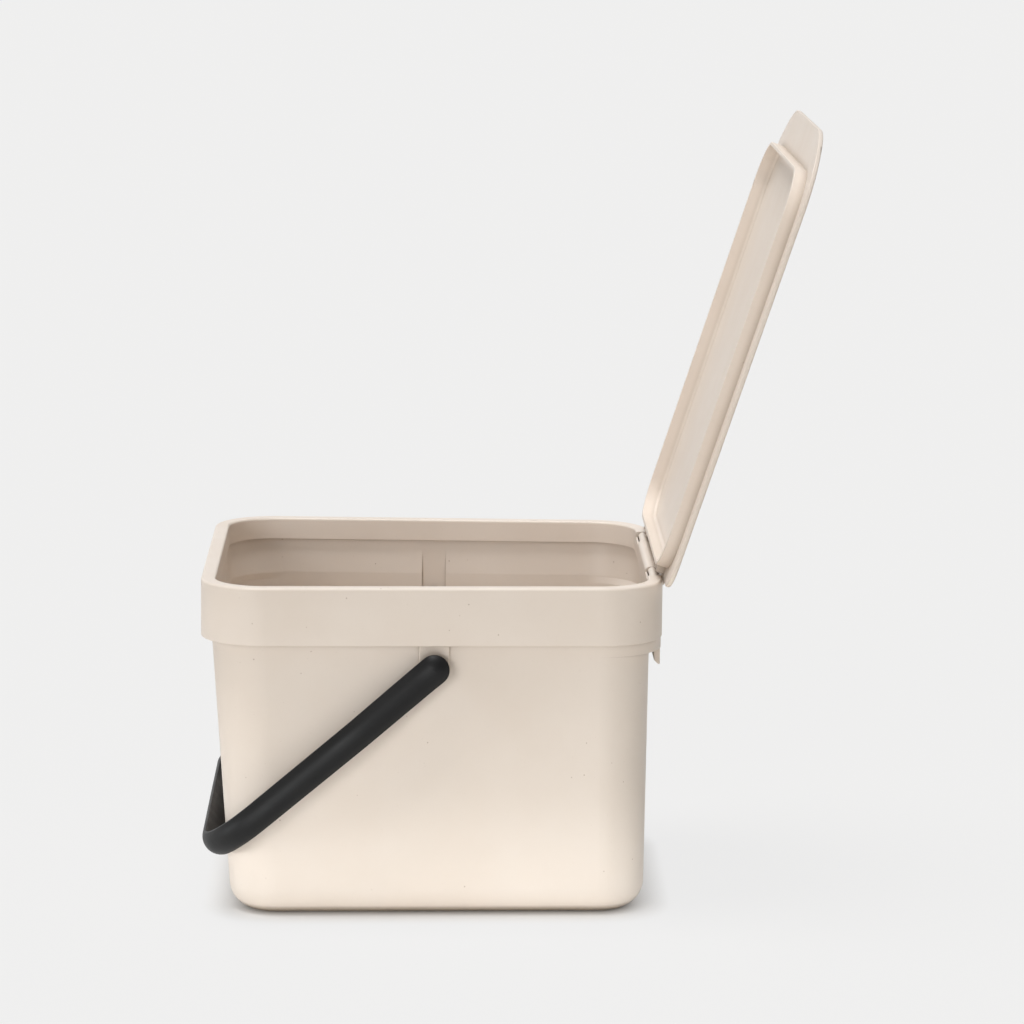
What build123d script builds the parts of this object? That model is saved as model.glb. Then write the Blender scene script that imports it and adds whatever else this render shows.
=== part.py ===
"""Lidded waste caddy: bucket, clip-on rim ring, hinged lid and strap handle.

Frame: origin at the centre of the base on the floor, +Z up, -Y front, +Y hinge side.
The lid stands open against its stop and the handle rests against the front wall.
"""

import os
from math import acos, atan2, cos, degrees, hypot, radians, sin, tan

from build123d import *

# Rim ring, the widest outline of the object
ring_length = 196.0
ring_width = 177.0
side_lean = 1.8
ring_corner = 27.0
rim_height = 144.7
ring_band = 24.8
ring_skin = 1.7
ring_top_width = 6.2
ring_web = 2.0
inner_skirt = 9.5
inner_skirt_skin = 1.0
ring_edge = 1.1
ring_inner_edge = 1.0
ring_lower_edge = 0.5

# Bucket
wall = 1.9
floor = 2.4
lip_gap = 0.5
lip_inset = ring_skin + lip_gap
lip_top_gap = 0.4
lip_height = 10.7
side_inset = 4.6
side_taper = 3.8
rear_inset = 5.4
rear_taper = 0.35
base_corner = 20.0
base_edge = 12.0

# Collar and hanging tongue at the rear of the bucket
collar_height = 5.6
collar_inset = 0.15
collar_gap = 0.8
collar_floor = 2.2
collar_slope = 2.8
tongue_half = 50.0
tongue_skin = 2.5
tongue_drop = 9.0
tongue_bevel = 1.7

# Handle pivot pads on the long sides of the bucket
pivot_y = 1.0
pivot_drop = 9.9
pad_half = 6.4
pad_raise = 1.1
pad_edge = 0.5
peg_radius = 3.0
peg_clearance = 0.08

# Hinge: barrel and journals of the ring, knuckles of the lid
axis_inset = 3.0
axis_drop = 2.3
barrel_radius = 2.2
barrel_half = 33.0
journal_radius = 1.3
knuckle_radius = 2.1
knuckle_length = 20.4
knuckle_clearance = 0.08
knuckle_slot = 2.0
knuckle_slot_angle = -60.0
lug_front = ((-3.6, 3.4), (-3.6, 1.9), (-1.6, 1.5), (0.0, 0.0))
lug_rear = ((1.8, 1.2), (1.7, 2.4), (0.7, 4.1), (-1.4, 4.3))
rib_count = 3
rib_skin = 1.4
rib_gap = 0.6
rib_drop = 1.0
knuckle_gap = 0.3
notch_floor = 5.1
notch_web = 1.8
low_wall_drop = 2.3
low_wall_skin = 0.8
barrel_web = 1.8
lip_notch_gap = 0.4
lip_notch_side = 1.6

# Lid
open_angle = 108.1
lid_skin = 2.1
lid_gap = 0.3
lid_inset = 0.3
lid_rear_setback = 2.3
lid_rear_corner = 12.0
lid_corner = 27.0
lid_edge = 0.9
lid_lower_edge = 0.4
skirt_gap = 4.3
skirt_front_gap = 0.4
skirt_corner = 20.0
skirt_rear_corner = 18.0
skirt_skin = 1.5
skirt_depth = 5.4
skirt_edge = 0.4
tray_recess = 0.8
tray_edge = 1.4
crown_insets = (1.5, 9.0, 23.0, 43.0)
crown_rises = (0.0, 0.6, 1.2, 1.5)
crown_corner = 14.0
tab_reach = 11.0
tab_shoulder = 8.8
tab_tip_setback = 24.2
tab_corner = 45.0

# Handle
rest_gap = 1.0
handle_reach = 126.6
strap_width = 12.2
strap_skin = 4.6
strap_edge = 1.4
end_radius = 6.5
strap_outer_round = 0.6
strap_inner_round = 0.4
leg_gap = 4.2
leg_splay = 3.8
knee_start = 6.0
knee_end = 42.0
knee_radius = 60.0
bow_corner = 25.4
boss_radius = 4.6
boss_gap = 0.5
peg_head_radius = 3.5
peg_head = 1.6
peg_head_bevel = 0.8
peg_head_gap = 0.5
peg_slot = 1.2

ring_bottom = rim_height - ring_band
lean = tan(radians(side_lean))
taper = tan(radians(side_taper))
collar_bottom = ring_bottom - collar_height
lip_start = rim_height - lip_height
lip_top = rim_height - ring_web - lip_top_gap
pivot_height = ring_bottom - pivot_drop
ring_rear = ring_length / 2
hinge_y = ring_rear - axis_inset
hinge_z = rim_height - axis_drop
notch_half = barrel_half + knuckle_length + 2 * knuckle_gap


def shrunk_side(inset):
    """Half width at the middle of an outline drawn in by inset from the rim ring."""
    return ring_width / 2 - inset / cos(radians(side_lean))


def outline(front, rear, side, radii):
    """Rounded trapezoid whose long sides lean in by side_lean towards the rear."""
    half_front = side - lean * front
    half_rear = side - lean * rear
    corners = [(half_front, front), (half_rear, rear), (-half_rear, rear), (-half_front, front)]
    with BuildLine() as border:
        FilletPolyline(*corners, radius=radii, close=True)
    make_face(border.edges())


def ring_outline(inset):
    """Outline of the rim ring, drawn in by inset."""
    outline(inset - ring_rear, ring_rear - inset, shrunk_side(inset), ring_corner - inset)


def body_inset(height):
    """How far the front and side walls lie inside the ring at a height."""
    return side_inset + (ring_bottom - height) * taper


def body_outline(height, depth=0.0):
    """Outline of the tapered body, depth inside its outer face."""
    inset = body_inset(height) + depth
    rear = ring_rear - rear_inset - depth - (ring_bottom - height) * tan(radians(rear_taper))
    top_corner = ring_corner - side_inset
    corner = base_corner + (top_corner - base_corner) * height / ring_bottom
    outline(inset - ring_rear, rear, shrunk_side(inset), corner - depth)


def neck_outline(height, depth=0.0):
    """Outline of the neck under the ring, which stands further out at the rear."""
    inset = lip_inset + depth
    if height < lip_start:
        share = (height - ring_bottom) / (lip_start - ring_bottom)
        inset = side_inset + (lip_inset - side_inset) * share + depth
    if height < ring_bottom:
        inset = body_inset(height) + depth
    rear = ring_rear - lip_inset - depth
    outline(inset - ring_rear, rear, shrunk_side(inset), ring_corner - lip_inset - depth)


def body_space(bottom, top, depth=0.0):
    """Tapered body between two heights."""
    with BuildPart() as space:
        for height in (bottom, top):
            with BuildSketch(Plane.XY.offset(height)):
                body_outline(height, depth)
        loft(ruled=True)
    return space.part


def neck_space(heights, depth=0.0):
    """Neck of the bucket through a run of heights."""
    with BuildPart() as space:
        for bottom, top in zip(heights, heights[1:]):
            for height in (bottom, top):
                with BuildSketch(Plane.XY.offset(height)):
                    neck_outline(height, depth)
            loft(ruled=True)
    return space.part


def pad_space(half, depth):
    """Upright tongue through both long sides, from below the pivot to under the lip."""
    with BuildPart() as tongue:
        with BuildSketch(Plane.YZ):
            with Locations((pivot_y, pivot_height)):
                Circle(half)
                Rectangle(2 * half, lip_start - pivot_height, align=(Align.CENTER, Align.MIN))
        extrude(amount=ring_width, both=True)
        add(body_space(collar_bottom / 2, lip_start, depth), mode=Mode.INTERSECT)
    return tongue.part


def raised_pads():
    """Pivot pads that stand out of both long sides, with softened borders."""
    with BuildPart() as pads:
        add(pad_space(pad_half, -pad_raise))
        by_side = pads.faces().sort_by(Axis.X)
        fillet(by_side[0].edges() + by_side[-1].edges(), pad_edge)
    return pads.part


os.makedirs("parts", exist_ok=True)

# Bucket
ledge_bottom = collar_bottom + collar_floor
ledge_top = ledge_bottom + collar_slope
collar_rear = ring_rear - collar_inset

with BuildPart() as cavity:
    add(body_space(floor, ledge_bottom, wall))
    fillet(cavity.edges().group_by(Axis.Z)[0], base_edge - wall)
    with BuildSketch(Plane.XY.offset(ledge_bottom)):
        body_outline(ledge_bottom, wall)
    with BuildSketch(Plane.XY.offset(ledge_top)):
        neck_outline(ledge_top, wall)
    loft(ruled=True)
    add(neck_space((ledge_top, ring_bottom, lip_start, rim_height), wall))
    add(pad_space(pad_half - wall / 2, wall - pad_raise))

with BuildPart() as bucket:
    add(body_space(0, ring_bottom))
    fillet(bucket.edges().group_by(Axis.Z)[0], base_edge)
    add(neck_space((collar_bottom, ring_bottom, lip_start, lip_top)))
    with BuildSketch(Plane.XY.offset(collar_bottom)):
        collar_side = shrunk_side(body_inset(collar_bottom))
        outline(0, collar_rear, collar_side, (0, ring_corner, ring_corner, 0))
    extrude(amount=collar_height - collar_gap)
    tongue_end = Vector(0, collar_rear - tongue_skin / 2, collar_bottom - tongue_drop)
    tongue_top = Plane.XY.offset(collar_bottom + collar_floor / 2)
    with BuildSketch(tongue_top):
        with Locations((0, collar_rear)):
            Rectangle(2 * tongue_half, tongue_skin, align=(Align.CENTER, Align.MAX))
    extrude(amount=-tongue_drop - collar_floor / 2)
    tongue_foot = bucket.faces().filter_by(Axis.Z).sort_by(
        lambda face: (face.center() - tongue_end).length
    )[0]
    chamfer(tongue_foot.edges().sort_by(Axis.Y)[0], tongue_bevel)
    add(raised_pads())
    add(cavity.part, mode=Mode.SUBTRACT)
    with BuildSketch(Plane.XY.offset(rim_height - notch_floor - notch_web - lip_notch_gap)):
        with Locations((0, ring_rear)):
            Rectangle(2 * (notch_half + ring_skin + lip_notch_side), 2 * ring_top_width)
    extrude(amount=ring_band, mode=Mode.SUBTRACT)
    with BuildSketch(Plane.YZ):
        with Locations((pivot_y, pivot_height)):
            Circle(peg_radius + peg_clearance)
    extrude(amount=ring_width, both=True, mode=Mode.SUBTRACT)
bucket.part.label = "bucket"

# Rim ring
notch_bottom = rim_height - notch_floor - notch_web
low_wall_rear = ring_rear - ring_top_width + low_wall_skin

with BuildPart() as rim_ring:
    with BuildSketch(Plane.XY.offset(ring_bottom)):
        ring_outline(0)
    extrude(amount=ring_band)
    fillet(rim_ring.edges().group_by(Axis.Z)[-1], ring_edge)
    fillet(rim_ring.edges().group_by(Axis.Z)[0], ring_lower_edge)
    with BuildSketch(Plane.XY.offset(ring_bottom)):
        ring_outline(ring_skin)
    extrude(amount=ring_band - inner_skirt, mode=Mode.SUBTRACT)
    with BuildSketch(Plane.XY.offset(rim_height - ring_web)):
        ring_outline(ring_skin)
    extrude(amount=ring_web - inner_skirt, mode=Mode.SUBTRACT)
    with BuildSketch(Plane.XY.offset(rim_height - ring_web)):
        ring_outline(ring_top_width - inner_skirt_skin)
    extrude(amount=ring_web - inner_skirt)
    with BuildSketch(Plane.XY.offset(ring_bottom)):
        ring_outline(ring_top_width)
    extrude(amount=ring_band, mode=Mode.SUBTRACT)
    top_face = rim_ring.faces().filter_by(Axis.Z).sort_by(Axis.Z)[-1]
    fillet(top_face.inner_wires()[0].edges(), ring_inner_edge)
    with BuildSketch(Plane.XY.offset(notch_bottom)):
        with Locations((0, low_wall_rear - low_wall_skin / 2)):
            Rectangle(
                2 * (notch_half + ring_skin),
                ring_rear - ring_skin / 2 - low_wall_rear,
                align=(Align.CENTER, Align.MIN),
            )
    extrude(amount=notch_floor + notch_web - ring_web / 2)
    with BuildSketch(Plane.XY.offset(rim_height - notch_floor)):
        with Locations((0, low_wall_rear)):
            Rectangle(2 * notch_half, 2 * ring_top_width, align=(Align.CENTER, Align.MIN))
    extrude(amount=ring_band, mode=Mode.SUBTRACT)
    with BuildSketch(Plane.XY.offset(rim_height - low_wall_drop)):
        with Locations((0, ring_rear)):
            Rectangle(2 * notch_half, 4 * ring_top_width)
    extrude(amount=ring_band, mode=Mode.SUBTRACT)
    with BuildSketch(Plane.XY.offset(rim_height - notch_floor - notch_web / 2)):
        with Locations((0, hinge_y + barrel_web / 2)):
            web_depth = hinge_y + barrel_web / 2 - low_wall_rear + low_wall_skin / 2
            Rectangle(2 * barrel_half, web_depth, align=(Align.CENTER, Align.MAX))
    extrude(amount=notch_floor + notch_web / 2 - axis_drop)
    with BuildSketch(Plane.YZ):
        with Locations((hinge_y, hinge_z)):
            Circle(journal_radius)
    extrude(amount=notch_half + ring_skin / 2, both=True)
    with BuildSketch(Plane.YZ):
        barrel_front = ring_rear - ring_top_width
        barrel_rear = hinge_y + barrel_radius
        with Locations(((barrel_front + barrel_rear) / 2, hinge_z)):
            SlotOverall(barrel_rear - barrel_front, 2 * barrel_radius)
    extrude(amount=barrel_half, both=True)
rim_ring.part.label = "rim_ring"

# Lid, drawn closed and then swung open
lid_under = rim_height + lid_gap
lid_top = lid_under + lid_skin
lid_rear = hinge_y - lid_rear_setback
tray_inset = ring_top_width + skirt_gap + skirt_skin
tray_top = lid_under + tray_recess


def skirt_outline(depth=0.0):
    """Outer outline of the lid's skirt, drawn in by depth."""
    front = ring_top_width + skirt_front_gap + depth - ring_rear
    inset = ring_top_width + skirt_gap + depth
    front_corner = skirt_corner - depth
    rear_corner = skirt_rear_corner - depth
    corners = (front_corner, rear_corner, rear_corner, front_corner)
    outline(front, ring_rear - inset, shrunk_side(inset), corners)


def crown_space(base):
    """Low dome in three slopes over the middle of the lid."""
    levels = list(zip(crown_insets, crown_rises))
    with BuildPart() as dome:
        for lower, upper in zip(levels, levels[1:]):
            for step, rise in (lower, upper):
                inset = tray_inset + step
                with BuildSketch(Plane.XY.offset(base + rise)):
                    outline(inset - ring_rear, ring_rear - inset, shrunk_side(inset), crown_corner)
            loft(ruled=True)
    return dome.part


with BuildPart() as tray:
    with BuildSketch(Plane.XY.offset(lid_under - skirt_depth)):
        skirt_outline(skirt_skin)
    extrude(amount=skirt_depth + tray_recess)
    fillet(tray.edges().group_by(Axis.Z)[-1], tray_edge)
    add(crown_space(tray_top))

with BuildPart() as closed_lid:
    with BuildSketch(Plane.XY.offset(lid_under)):
        lid_side = shrunk_side(lid_inset)
        shoulder = tab_shoulder - ring_rear
        half_border = [
            (lid_side - lean * lid_rear, lid_rear),
            (lid_side - lean * shoulder, shoulder),
            (lid_side - tab_tip_setback, -ring_rear - tab_reach),
        ]
        half_radii = [lid_rear_corner, lid_corner, tab_corner]
        with BuildLine():
            FilletPolyline(
                *half_border,
                *[(-across, along) for across, along in reversed(half_border)],
                radius=half_radii + half_radii[::-1],
                close=True,
            )
        make_face()
    extrude(amount=lid_skin)
    fillet(closed_lid.edges().group_by(Axis.Z)[-1], lid_edge)
    fillet(closed_lid.edges().group_by(Axis.Z)[0], lid_lower_edge)
    add(crown_space(lid_top))
    with BuildSketch(Plane.XY.offset(lid_under - skirt_depth)):
        skirt_outline()
    extrude(amount=skirt_depth + tray_recess)
    fillet(closed_lid.edges().group_by(Axis.Z)[0], skirt_edge)
    add(tray.part, mode=Mode.SUBTRACT)
    for end in (-1, 1):
        with BuildSketch(Plane.YZ.offset(end * (barrel_half + knuckle_gap))):
            with BuildLine():
                Polyline(*[(hinge_y + out, hinge_z + up) for out, up in lug_front + lug_rear], close=True)
            make_face()
            with Locations((hinge_y, hinge_z)):
                Circle(knuckle_radius)
                Circle(journal_radius + knuckle_clearance, mode=Mode.SUBTRACT)
                Rectangle(
                    2 * knuckle_radius,
                    knuckle_slot,
                    rotation=knuckle_slot_angle,
                    align=(Align.MIN, Align.CENTER),
                    mode=Mode.SUBTRACT,
                )
        extrude(amount=end * knuckle_length)
        for place in range(rib_count):
            start = barrel_half + knuckle_gap + place * (knuckle_length - rib_skin) / (rib_count - 1)
            with BuildSketch(Plane.YZ.offset(end * start)):
                with Locations((ring_rear - ring_top_width - rib_gap, hinge_z - rib_drop)):
                    rib_length = skirt_gap + skirt_skin / 2 - rib_gap
                    rib_height = rib_drop + lid_under + lid_skin / 2 - hinge_z
                    Rectangle(rib_length, rib_height, align=(Align.MAX, Align.MIN))
            extrude(amount=end * rib_skin)

with BuildPart() as lid:
    hinge_axis = Axis((0, hinge_y, hinge_z), (1, 0, 0))
    add(closed_lid.part.rotate(hinge_axis, -open_angle))
lid.part.label = "lid"

# Handle, one half drawn in its resting plane and then mirrored
bow_inner = handle_reach - strap_skin
wall_gap = (pivot_y + ring_rear - body_inset(pivot_height)) * cos(radians(side_taper)) + rest_gap
edge_reach = hypot(bow_inner, strap_width / 2)
rest_angle = side_taper + degrees(acos(wall_gap / edge_reach) - atan2(strap_width / 2, bow_inner))
pivot = (0, pivot_y, pivot_height)
swing = Plane(pivot, x_dir=(1, 0, 0), z_dir=(0, sin(radians(rest_angle)), -cos(radians(rest_angle))))
pad_face = shrunk_side(body_inset(pivot_height) - pad_raise) - lean * pivot_y
head_face = pad_face - wall - peg_head_gap
boss_face = pad_face + boss_gap
leg_start = pad_face + leg_gap
leg_end = leg_start + leg_splay
leg_plane = Plane(swing.from_local_coords((leg_start, 0, 0)), x_dir=(1, 0, 0), z_dir=swing.y_dir)
corner_place = swing.from_local_coords((leg_end, bow_inner - bow_corner, 0))
corner_plane = Plane(corner_place, x_dir=(1, 0, 0), z_dir=swing.y_dir)
middle_plane = Plane(swing.from_local_coords((0, bow_inner, 0)), x_dir=swing.y_dir, z_dir=(-1, 0, 0))


def strap_section(half):
    """Strap profile with a flat inner face and a domed outer face."""
    with BuildSketch(leg_plane) as section:
        with BuildLine() as border:
            Polyline((strap_edge, half), (0, half), (0, -half), (strap_edge, -half))
            ThreePointArc((strap_edge, -half), (strap_skin, 0), (strap_edge, half))
        make_face(border.edges())
        sides = section.vertices().group_by(Axis.X)
        fillet(sides[-1], strap_outer_round)
        fillet(section.vertices().group_by(Axis.X)[0], strap_inner_round)
    return section.sketch_local


with BuildPart() as handle:
    stations = (
        (boss_radius, boss_face, leg_start + strap_edge / 2),
        (peg_radius, head_face, boss_face),
        (peg_head_radius, head_face - peg_head, head_face),
    )
    for radius, start, end in stations:
        with BuildSketch(Plane.YZ.offset(start)):
            with Locations((pivot_y, pivot_height)):
                Circle(radius)
        extrude(amount=end - start)
    chamfer(handle.edges().group_by(Axis.X)[0], peg_head_bevel)
    with BuildSketch(Plane.YZ.offset(head_face - peg_head)):
        with Locations((pivot_y, pivot_height)):
            Rectangle(2 * peg_head_radius, peg_slot, rotation=rest_angle)
    extrude(amount=boss_face - head_face + peg_head, mode=Mode.SUBTRACT)
    with BuildSketch(leg_plane):
        add(strap_section(end_radius))
        Rectangle(2 * strap_width, strap_width, align=(Align.CENTER, Align.MIN), mode=Mode.INTERSECT)
    revolve(axis=Axis(pivot, (-1, 0, 0)), revolution_arc=180)
    with BuildLine(swing) as bow:
        FilletPolyline(
            (leg_start, 0),
            (leg_start, knee_start),
            (leg_end, knee_end),
            (leg_end, bow_inner),
            (0, bow_inner),
            radius=(knee_radius, knee_radius, bow_corner),
        )
    strap_stations = (
        (leg_plane, end_radius),
        (corner_plane, strap_width / 2),
        (middle_plane, strap_width / 2),
    )
    for plane, half in strap_stations:
        with BuildSketch(plane):
            add(strap_section(half))
    sweep(path=bow.wires()[0], multisection=True)
    mirror(about=Plane.YZ)
handle.part.label = "handle"

export_step(bucket.part, "parts/bucket.step")
export_step(rim_ring.part, "parts/rim_ring.step")
export_step(lid.part, "parts/lid.step")
export_step(handle.part, "parts/handle.step")
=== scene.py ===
"""Lidded waste caddy in pale speckled plastic with a dark strap handle, on a plain studio floor.

Lengths are in metres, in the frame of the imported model: +Z up, -Y front, +Y hinge side.
The photograph looks at the object's +X side. Lamp angles are in degrees.
"""

from math import cos, radians, sin

import bmesh
import bpy
from mathutils import Matrix, Vector

def srgb(red, green, blue):
    """Linear colour from 8-bit display values."""
    linear = []
    for value in (red, green, blue):
        share = value / 255
        linear.append(share / 12.92 if share <= 0.04045 else ((share + 0.055) / 1.055) ** 2.4)
    return (*linear, 1.0)


# Camera, fitted to the rim, the hinge and the lid of the photograph; its turns are in radians
IMAGE_WIDTH = 1024
FOCAL_PIXELS = 4398.86
SENSOR_WIDTH = 36.0
CAMERA_PLACE = Vector((1.89872, -0.00423, 0.48407))
CAMERA_YAW = 0.020552
CAMERA_PITCH = 0.167743
CAMERA_ROLL = 0.010407
CAMERA_REACH = 100.0

# Plastics: colours of the plain surface, its clouds and flecks, and the shade painted into its
# crevices, then roughness and grain
PALE_PLASTIC = {
    "base": srgb(234, 223, 212),
    "cloud": srgb(231, 219, 207),
    "fleck": srgb(158, 134, 108),
    # painted shade: darker colour laid into joint lines, gaps and corners
    "painted_shade": srgb(150, 132, 112),
    "roughness": 0.44,
    "grain": 0.22,
}
DARK_PLASTIC = {
    "base": srgb(27, 27, 27),
    "cloud": srgb(25, 25, 26),
    "fleck": srgb(52, 52, 50),
    # painted shade: darker colour laid into joint lines, gaps and corners
    "painted_shade": srgb(16, 16, 16),
    "roughness": 0.46,
    "grain": 0.35,
}
DARK_SPECULAR = 0.25

# Textures of the plastics: scales in repeats per metre, depths in metres
CLOUD_SCALE = 22.0
CLOUD_DETAIL = 3.0
CLOUD_SPAN = (0.35, 0.65)
COARSE_FLECKS = {"scale": 170.0, "radius": 0.055, "strength": 0.75, "patch_level": 0.50}
FINE_FLECKS = {"scale": 430.0, "radius": 0.06, "strength": 0.35, "patch_level": 0.46}
FLECK_CORE = 0.6
PATCH_SCALE_SHARE = 0.23
PATCH_EDGE = 0.03
# Painted shade in crevices: reach of the occlusion test in metres, its rays, and the occlusion span
# over which the shade fades in
PAINTED_SHADE_REACH = 0.005
PAINTED_SHADE_RAYS = 8
PAINTED_SHADE_SPAN = (0.10, 0.85)
SHEEN_SCALE = 90.0
SHEEN_DETAIL = 4.0
SHEEN_SPAN = (0.3, 0.7)
SMOOTHER = 0.04
ROUGHER = 0.05
GRAIN_SCALE = 2600.0
GRAIN_DEPTH = 0.00005
RIPPLE_SCALE = 60.0
RIPPLE_STRENGTH = 0.10
RIPPLE_DEPTH = 0.0003

# Floor and backdrop
BACKDROP = srgb(240, 240, 240)
FLOOR_COLOUR = srgb(233, 229, 223)
FLOOR_CLOUD = srgb(232, 228, 222)
FLOOR_CLOUD_SCALE = 3.0
FLOOR_CLOUD_SPAN = (0.3, 0.7)
FLOOR_ROUGHNESS = 0.9
FLOOR_HALF = 30.0
FLOOR_SEGMENTS = 8
FLOOR_GLOW = 0.93
CONTACT_REACH = 0.015

# World: weak light all round, and the backdrop in reflections from behind the object
AMBIENT_COLOUR = (1.0, 0.97, 0.93, 1.0)
AMBIENT_STRENGTH = 0.20
BACKDROP_EDGE = -0.2

# Distant lamps: name, direction that the light comes from, strength and width of the disc
SUNS = (
    ("key", (0.88, -0.42, 0.15), 0.95, 24.0),
    ("top", (0.05, -0.15, 1.0), 2.35, 30.0),
)

# Low lamps that face the object: name, turn from +X about +Z, distance from the origin,
# level of the middle, height of the lamp, power in watts and spread of its light
STRIP_WIDTH = 0.8
STRIP_COLOUR = (0.92, 0.97, 1.0)
STRIPS = (
    ("low", -3.6, 0.80, 0.02, 0.04, 0.058, 25.0),
    ("front", -75.0, 0.80, 0.05, 0.10, 0.05, 12.0),
    ("base", -5.7, 0.50, 0.008, 0.016, 0.018, 14.0),
    ("base_front", -65.0, 0.50, 0.008, 0.016, 0.011, 14.0),
    ("base_rear", 65.0, 0.50, 0.008, 0.016, 0.026, 14.0),
)


class Nodes:
    """A node tree with short calls for its nodes and links."""

    def __init__(self, tree):
        self.tree = tree

    def node(self, kind, **settings):
        made = self.tree.nodes.new(kind)
        for key, value in settings.items():
            setattr(made, key, value)
        return made

    def link(self, source, target):
        self.tree.links.new(source, target)

    def feed(self, value, socket):
        """Give a socket a link from another socket, or a fixed value."""
        if isinstance(value, bpy.types.NodeSocket):
            self.link(value, socket)
        else:
            socket.default_value = value

    def math(self, operation, first, second):
        made = self.node("ShaderNodeMath", operation=operation)
        self.feed(first, made.inputs[0])
        self.feed(second, made.inputs[1])
        return made.outputs["Value"]

    def blend(self, share, first, second):
        """Shader that goes from first to second with share."""
        made = self.node("ShaderNodeMixShader")
        self.link(share, made.inputs["Fac"])
        self.link(first, made.inputs[1])
        self.link(second, made.inputs[2])
        return made.outputs["Shader"]


class Material(Nodes):
    """A material and its node tree."""

    def __init__(self, name):
        self.material = bpy.data.materials.new(name)
        self.material.use_nodes = True
        super().__init__(self.material.node_tree)
        self.shader = self.tree.nodes["Principled BSDF"]
        self.object_space = self.node("ShaderNodeTexCoord").outputs["Object"]

    def noise(self, scale, detail=2.0):
        made = self.node("ShaderNodeTexNoise")
        made.inputs["Scale"].default_value = scale
        made.inputs["Detail"].default_value = detail
        self.link(self.object_space, made.inputs["Vector"])
        return made.outputs["Fac"]

    def cells(self, scale):
        """Distance to the nearest of many scattered points."""
        made = self.node("ShaderNodeTexVoronoi")
        made.inputs["Scale"].default_value = scale
        self.link(self.object_space, made.inputs["Vector"])
        return made.outputs["Distance"]

    def ramp(self, source, low, high, start=0.0, end=1.0):
        """Straight map of a value from low..high to start..end, held at both ends."""
        made = self.node("ShaderNodeMapRange")
        made.inputs["From Min"].default_value = low
        made.inputs["From Max"].default_value = high
        made.inputs["To Min"].default_value = start
        made.inputs["To Max"].default_value = end
        self.link(source, made.inputs["Value"])
        return made.outputs["Result"]

    def mix(self, factor, first, second):
        """Colour that goes from first to second with factor."""
        made = self.node("ShaderNodeMix", data_type="RGBA")
        colour_inputs = [socket for socket in made.inputs if socket.type == "RGBA"]
        self.link(factor, made.inputs["Factor"])
        self.feed(first, colour_inputs[0])
        self.feed(second, colour_inputs[1])
        return [socket for socket in made.outputs if socket.type == "RGBA"][0]

    def bump(self, height, strength, distance, normal=None):
        made = self.node("ShaderNodeBump")
        made.inputs["Strength"].default_value = strength
        made.inputs["Distance"].default_value = distance
        self.link(height, made.inputs["Height"])
        if normal is not None:
            self.link(normal, made.inputs["Normal"])
        return made.outputs["Normal"]

    def assign(self, *objects):
        for piece in objects:
            piece.data.materials.clear()
            piece.data.materials.append(self.material)


def add_flecks(made, colour, fleck, scale, radius, strength, patch_level):
    """Colour with small dots of fleck, kept only where a slower noise is above patch_level."""
    dots = made.ramp(made.cells(scale), radius * FLECK_CORE, radius, strength, 0.0)
    patches = made.noise(scale * PATCH_SCALE_SHARE, 0.0)
    kept = made.ramp(patches, patch_level, patch_level + PATCH_EDGE)
    return made.mix(made.math("MULTIPLY", dots, kept), colour, fleck)


def paint_crevice_shade(made, colour, painted_shade):
    """Colour with painted shade: it turns to the shade colour where other surfaces close in, as at
    joint lines and corners.
    """
    # Painted shade: the occlusion test finds where other surfaces close in and darkens the colour
    # there
    shade_probe = made.node("ShaderNodeAmbientOcclusion")
    shade_probe.samples = PAINTED_SHADE_RAYS
    shade_probe.inputs["Distance"].default_value = PAINTED_SHADE_REACH
    painted_shade_share = made.ramp(shade_probe.outputs["AO"], *PAINTED_SHADE_SPAN, 1.0, 0.0)
    return made.mix(painted_shade_share, colour, painted_shade)


def moulded_plastic(name, base, cloud, fleck, painted_shade, roughness, grain):
    """Matt moulded plastic: clouded colour, two sizes of fleck, shade painted into crevices and a
    fine spark-eroded grain.
    """
    made = Material(name)
    clouds = made.ramp(made.noise(CLOUD_SCALE, CLOUD_DETAIL), *CLOUD_SPAN)
    colour = made.mix(clouds, base, cloud)
    colour = add_flecks(made, colour, fleck, **COARSE_FLECKS)
    colour = add_flecks(made, colour, fleck, **FINE_FLECKS)
    # Shade painted into joint lines and corners, from an occlusion test
    colour = paint_crevice_shade(made, colour, painted_shade)
    made.link(colour, made.shader.inputs["Base Color"])
    sheen = made.noise(SHEEN_SCALE, SHEEN_DETAIL)
    sheen = made.ramp(sheen, *SHEEN_SPAN, roughness - SMOOTHER, roughness + ROUGHER)
    made.link(sheen, made.shader.inputs["Roughness"])
    fine = made.bump(made.noise(GRAIN_SCALE), grain, GRAIN_DEPTH)
    surface = made.bump(made.noise(RIPPLE_SCALE), RIPPLE_STRENGTH, RIPPLE_DEPTH, fine)
    made.link(surface, made.shader.inputs["Normal"])
    return made


def floor_plane():
    """One large flat sheet under the object."""
    mesh = bpy.data.meshes.new("floor")
    sheet = bmesh.new()
    bmesh.ops.create_grid(
        sheet, x_segments=FLOOR_SEGMENTS, y_segments=FLOOR_SEGMENTS, size=FLOOR_HALF
    )
    sheet.to_mesh(mesh)
    sheet.free()
    floor = bpy.data.objects.new("floor", mesh)
    bpy.context.scene.collection.objects.link(floor)
    return floor


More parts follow.
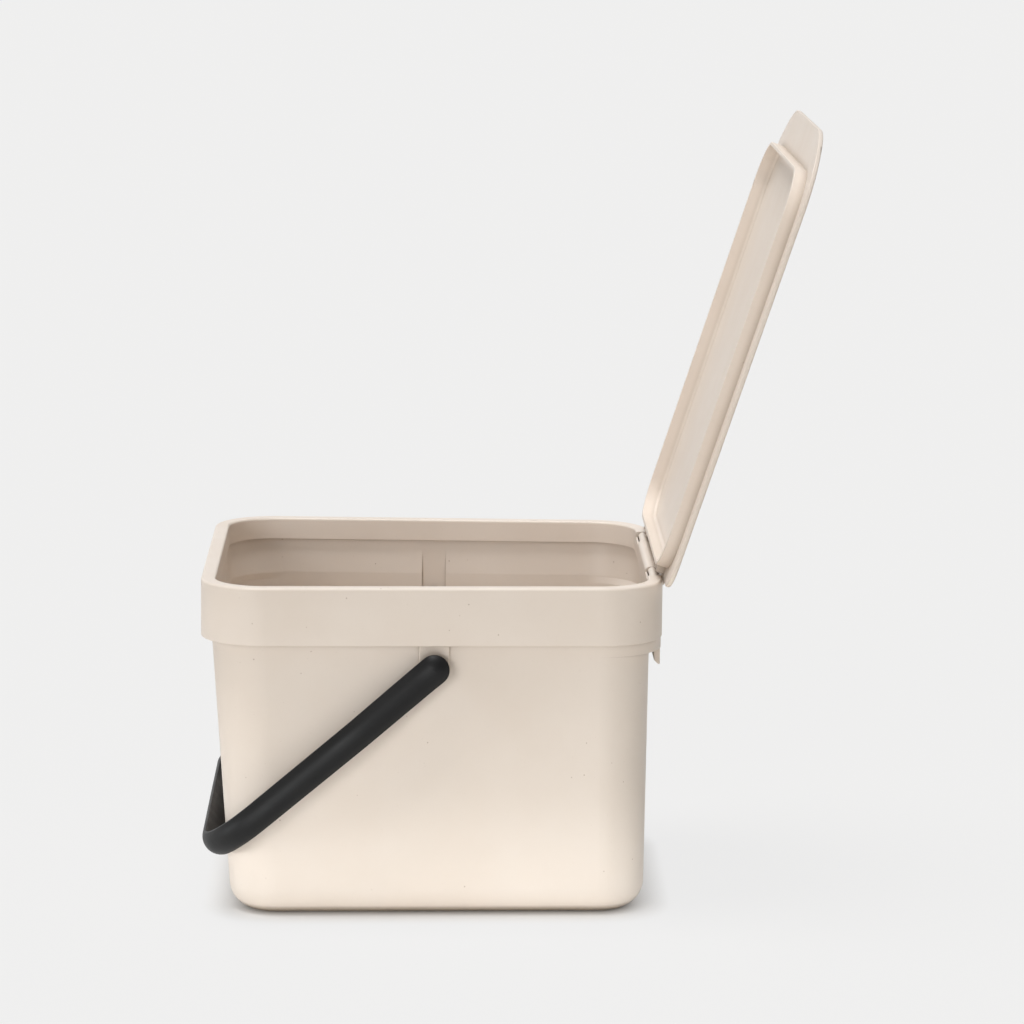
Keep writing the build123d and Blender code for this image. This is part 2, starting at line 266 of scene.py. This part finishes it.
def floor_paper():
    """Pale paper that takes shadows and looks like the backdrop, but for a dark line of contact."""
    paper = Material("floor_paper")
    clouds = paper.ramp(paper.noise(FLOOR_CLOUD_SCALE), *FLOOR_CLOUD_SPAN)
    colour = paper.mix(clouds, FLOOR_COLOUR, FLOOR_CLOUD)
    paper.link(colour, paper.shader.inputs["Base Color"])
    paper.shader.inputs["Roughness"].default_value = FLOOR_ROUGHNESS
    paper.shader.inputs["Specular IOR Level"].default_value = 0.0
    glow = paper.node("ShaderNodeEmission")
    glow.inputs["Color"].default_value = BACKDROP
    rays = paper.node("ShaderNodeLightPath").outputs
    seen = paper.math("MAXIMUM", rays["Is Camera Ray"], rays["Is Glossy Ray"])
    seen = paper.math("MAXIMUM", seen, rays["Is Transmission Ray"])
    contact = paper.node("ShaderNodeAmbientOcclusion")
    contact.inputs["Distance"].default_value = CONTACT_REACH
    glow_share = paper.math("MULTIPLY", contact.outputs["AO"], FLOOR_GLOW)
    glow_share = paper.math("MULTIPLY", seen, glow_share)
    result = paper.blend(glow_share, paper.shader.outputs["BSDF"], glow.outputs["Emission"])
    paper.link(result, paper.tree.nodes["Material Output"].inputs["Surface"])
    return paper


def add_lamp(name, kind, turn):
    """New lamp object of a kind, with its turn."""
    lamp = bpy.data.lights.new(name, kind)
    placed = bpy.data.objects.new(name, lamp)
    placed.rotation_euler = turn
    bpy.context.scene.collection.objects.link(placed)
    return placed


def sun(name, towards, strength, angle):
    """Distant soft lamp that shines from the direction given."""
    lamp = add_lamp(name, "SUN", Vector(towards).to_track_quat("Z", "Y").to_euler()).data
    lamp.energy = strength
    lamp.angle = radians(angle)


def strip(name, turn, distance, level, height, power, spread):
    """Long low lamp that faces the object, whose light fades higher up."""
    placed = add_lamp(name, "AREA", (radians(90.0), 0.0, radians(90.0 + turn)))
    placed.location = (distance * cos(radians(turn)), distance * sin(radians(turn)), level)
    lamp = placed.data
    lamp.shape = "RECTANGLE"
    lamp.size = STRIP_WIDTH
    lamp.size_y = height
    lamp.energy = power
    lamp.spread = radians(spread)
    lamp.color = STRIP_COLOUR


def studio_world():
    """Weak warm light, with the backdrop shown to the camera and to reflections from behind."""
    world = bpy.data.worlds.new("studio")
    bpy.context.scene.world = world
    world.use_nodes = True
    sky = Nodes(world.node_tree)
    ambient = sky.tree.nodes["Background"]
    ambient.inputs["Color"].default_value = AMBIENT_COLOUR
    ambient.inputs["Strength"].default_value = AMBIENT_STRENGTH
    backdrop = sky.node("ShaderNodeBackground")
    backdrop.inputs["Color"].default_value = BACKDROP
    rays = sky.node("ShaderNodeLightPath").outputs
    direction = sky.node("ShaderNodeSeparateXYZ")
    sky.link(sky.node("ShaderNodeTexCoord").outputs["Generated"], direction.inputs["Vector"])
    behind = sky.math("LESS_THAN", direction.outputs["X"], BACKDROP_EDGE)
    mirrored = sky.math("MULTIPLY", behind, rays["Is Glossy Ray"])
    shown = sky.math("MAXIMUM", mirrored, rays["Is Camera Ray"])
    shown = sky.math("MAXIMUM", shown, rays["Is Transmission Ray"])
    result = sky.blend(shown, ambient.outputs["Background"], backdrop.outputs["Background"])
    sky.link(result, sky.tree.nodes["World Output"].inputs["Surface"])


def add_camera():
    """Camera at the photograph's place, from its yaw, pitch and roll."""
    forward = Vector((
        -cos(CAMERA_YAW) * cos(CAMERA_PITCH),
        sin(CAMERA_YAW) * cos(CAMERA_PITCH),
        -sin(CAMERA_PITCH),
    ))
    level_right = forward.cross(Vector((0.0, 0.0, 1.0))).normalized()
    level_up = level_right.cross(forward)
    right = cos(CAMERA_ROLL) * level_right + sin(CAMERA_ROLL) * level_up
    up = -sin(CAMERA_ROLL) * level_right + cos(CAMERA_ROLL) * level_up
    lens = bpy.data.cameras.new("camera")
    lens.sensor_width = SENSOR_WIDTH
    lens.lens = FOCAL_PIXELS * SENSOR_WIDTH / IMAGE_WIDTH
    lens.clip_end = CAMERA_REACH
    camera = bpy.data.objects.new("camera", lens)
    turn = Matrix((right, up, -forward)).transposed().to_4x4()
    camera.matrix_world = Matrix.Translation(CAMERA_PLACE) @ turn
    bpy.context.scene.collection.objects.link(camera)
    bpy.context.scene.camera = camera


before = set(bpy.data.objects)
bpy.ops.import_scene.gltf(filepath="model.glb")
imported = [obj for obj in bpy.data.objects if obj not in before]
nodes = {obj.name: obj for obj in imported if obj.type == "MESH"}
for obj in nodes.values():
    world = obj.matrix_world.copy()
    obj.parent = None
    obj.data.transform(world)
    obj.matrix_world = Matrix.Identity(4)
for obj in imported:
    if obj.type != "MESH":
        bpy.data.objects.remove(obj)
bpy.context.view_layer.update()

pale = moulded_plastic("pale_plastic", **PALE_PLASTIC)
dark = moulded_plastic("dark_plastic", **DARK_PLASTIC)
dark.shader.inputs["Specular IOR Level"].default_value = DARK_SPECULAR
pale.assign(nodes["bucket"], nodes["rim_ring"], nodes["lid"])
dark.assign(nodes["handle"])

floor = floor_plane()
floor_paper().assign(floor)

for settings in SUNS:
    sun(*settings)
for settings in STRIPS:
    strip(*settings)
studio_world()
add_camera()
bpy.context.scene.view_settings.view_transform = "Standard"
